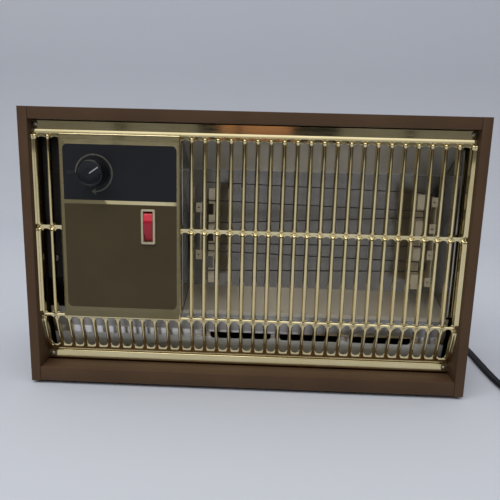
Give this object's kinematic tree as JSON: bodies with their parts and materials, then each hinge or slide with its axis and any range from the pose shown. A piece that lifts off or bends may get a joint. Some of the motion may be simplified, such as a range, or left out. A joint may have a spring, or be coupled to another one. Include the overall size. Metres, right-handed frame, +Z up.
{
  "type": "electric fan heater",
  "caption": "Tabletop fan-forced electric heater: folded steel case, pressed brass grille of rounded bars, thermostat dial, rocker switch, ribbon elements, fan and motor, coiled cord",
  "frame": {"origin": "on the floor under the middle of the case, halfway between the knob's face and the rear panel", "axes": "+X to the right as seen from the front, +Y from the grille to the rear panel, +Z up"},
  "size_m": [0.6275, 0.3163, 0.288],
  "materials": {
    "enamel": "satin enamel",
    "brass": "polished",
    "satin_brass": "satin",
    "black_plate": "satin",
    "olive_plate": "satin",
    "black_plastic": "satin",
    "white_paint": "matt",
    "red_plastic": "gloss",
    "cream_plastic": "satin",
    "polished": "polished",
    "steel": "satin",
    "black_steel": "matt",
    "mica": "matt",
    "ribbon": "oxidised",
    "copper": "lacquered",
    "rubber": "matt",
    "cord": "satin"
  },
  "bodies": {
    "case": {"top_panel": "enamel", "base_panel": "enamel", "rear_panel": "enamel", "left_side_panel": "enamel", "right_side_panel": "enamel", "foot_front_left": "rubber", "foot_front_right": "rubber", "foot_rear_left": "rubber", "foot_rear_right": "rubber", "front_grille": "brass", "grille_screw_top_left": "steel", "grille_screw_top_right": "steel", "grille_screw_bottom_left": "steel", "grille_screw_bottom_right": "steel", "dial_plate": "black_plate", "switch_plate": "olive_plate", "thermostat_body": "black_plastic", "thermostat_nut": "steel", "control_bracket": "black_steel", "bracket_screw": "steel", "rocker_switch_body": "cream_plastic", "rocker_pin": "steel", "reflector": "polished", "bulkhead_left": "polished", "bulkhead_right": "polished", "lower_apron": "polished", "mica_comb_left": "mica", "mica_comb_right": "mica", "eyelet_strip_left": "mica", "eyelet_strip_right": "mica", "heating_ribbon_upper": "ribbon", "heating_ribbon_lower": "ribbon", "limit_switch": "black_plastic", "motor_stator": "steel", "motor_coil": "copper", "bearing_bracket_front": "steel", "bearing_bracket_rear": "steel", "motor_strap": "steel", "fan_shroud": "steel", "strain_relief": "black_plastic", "cord_lead": "cord", "cord_coil": "cord", "coil_tie": "black_plastic", "plug_body": "black_plastic", "plug_blade_left": "satin_brass", "plug_blade_right": "satin_brass"},
    "thermostat_dial": {"thermostat_knob": "black_plastic", "knob_pointer": "white_paint", "thermostat_shaft": "steel"},
    "switch_rocker_body": {"switch_rocker": "red_plastic"},
    "fan_rotor": {"fan_blades": "polished", "motor_shaft": "steel", "motor_rotor": "steel"}
  },
  "joints": [
    {"name": "thermostat_turn", "type": "hinge", "parent": "case", "child": "thermostat_dial", "pos_m": [-0.1545, -0.07525, 0.2258], "axis": [0, 1, 0], "range_deg": [-144.5, 125.5]},
    {"name": "rocker_tilt", "type": "hinge", "parent": "case", "child": "switch_rocker_body", "pos_m": [-0.102, -0.06645, 0.1725], "axis": [1, 0, 0], "range_deg": [0, 24]},
    {"name": "fan_spin", "type": "hinge", "parent": "case", "child": "fan_rotor", "pos_m": [0.0705, 0.01575, 0.153], "axis": [0, 1, 0], "continuous": true}
  ]
}
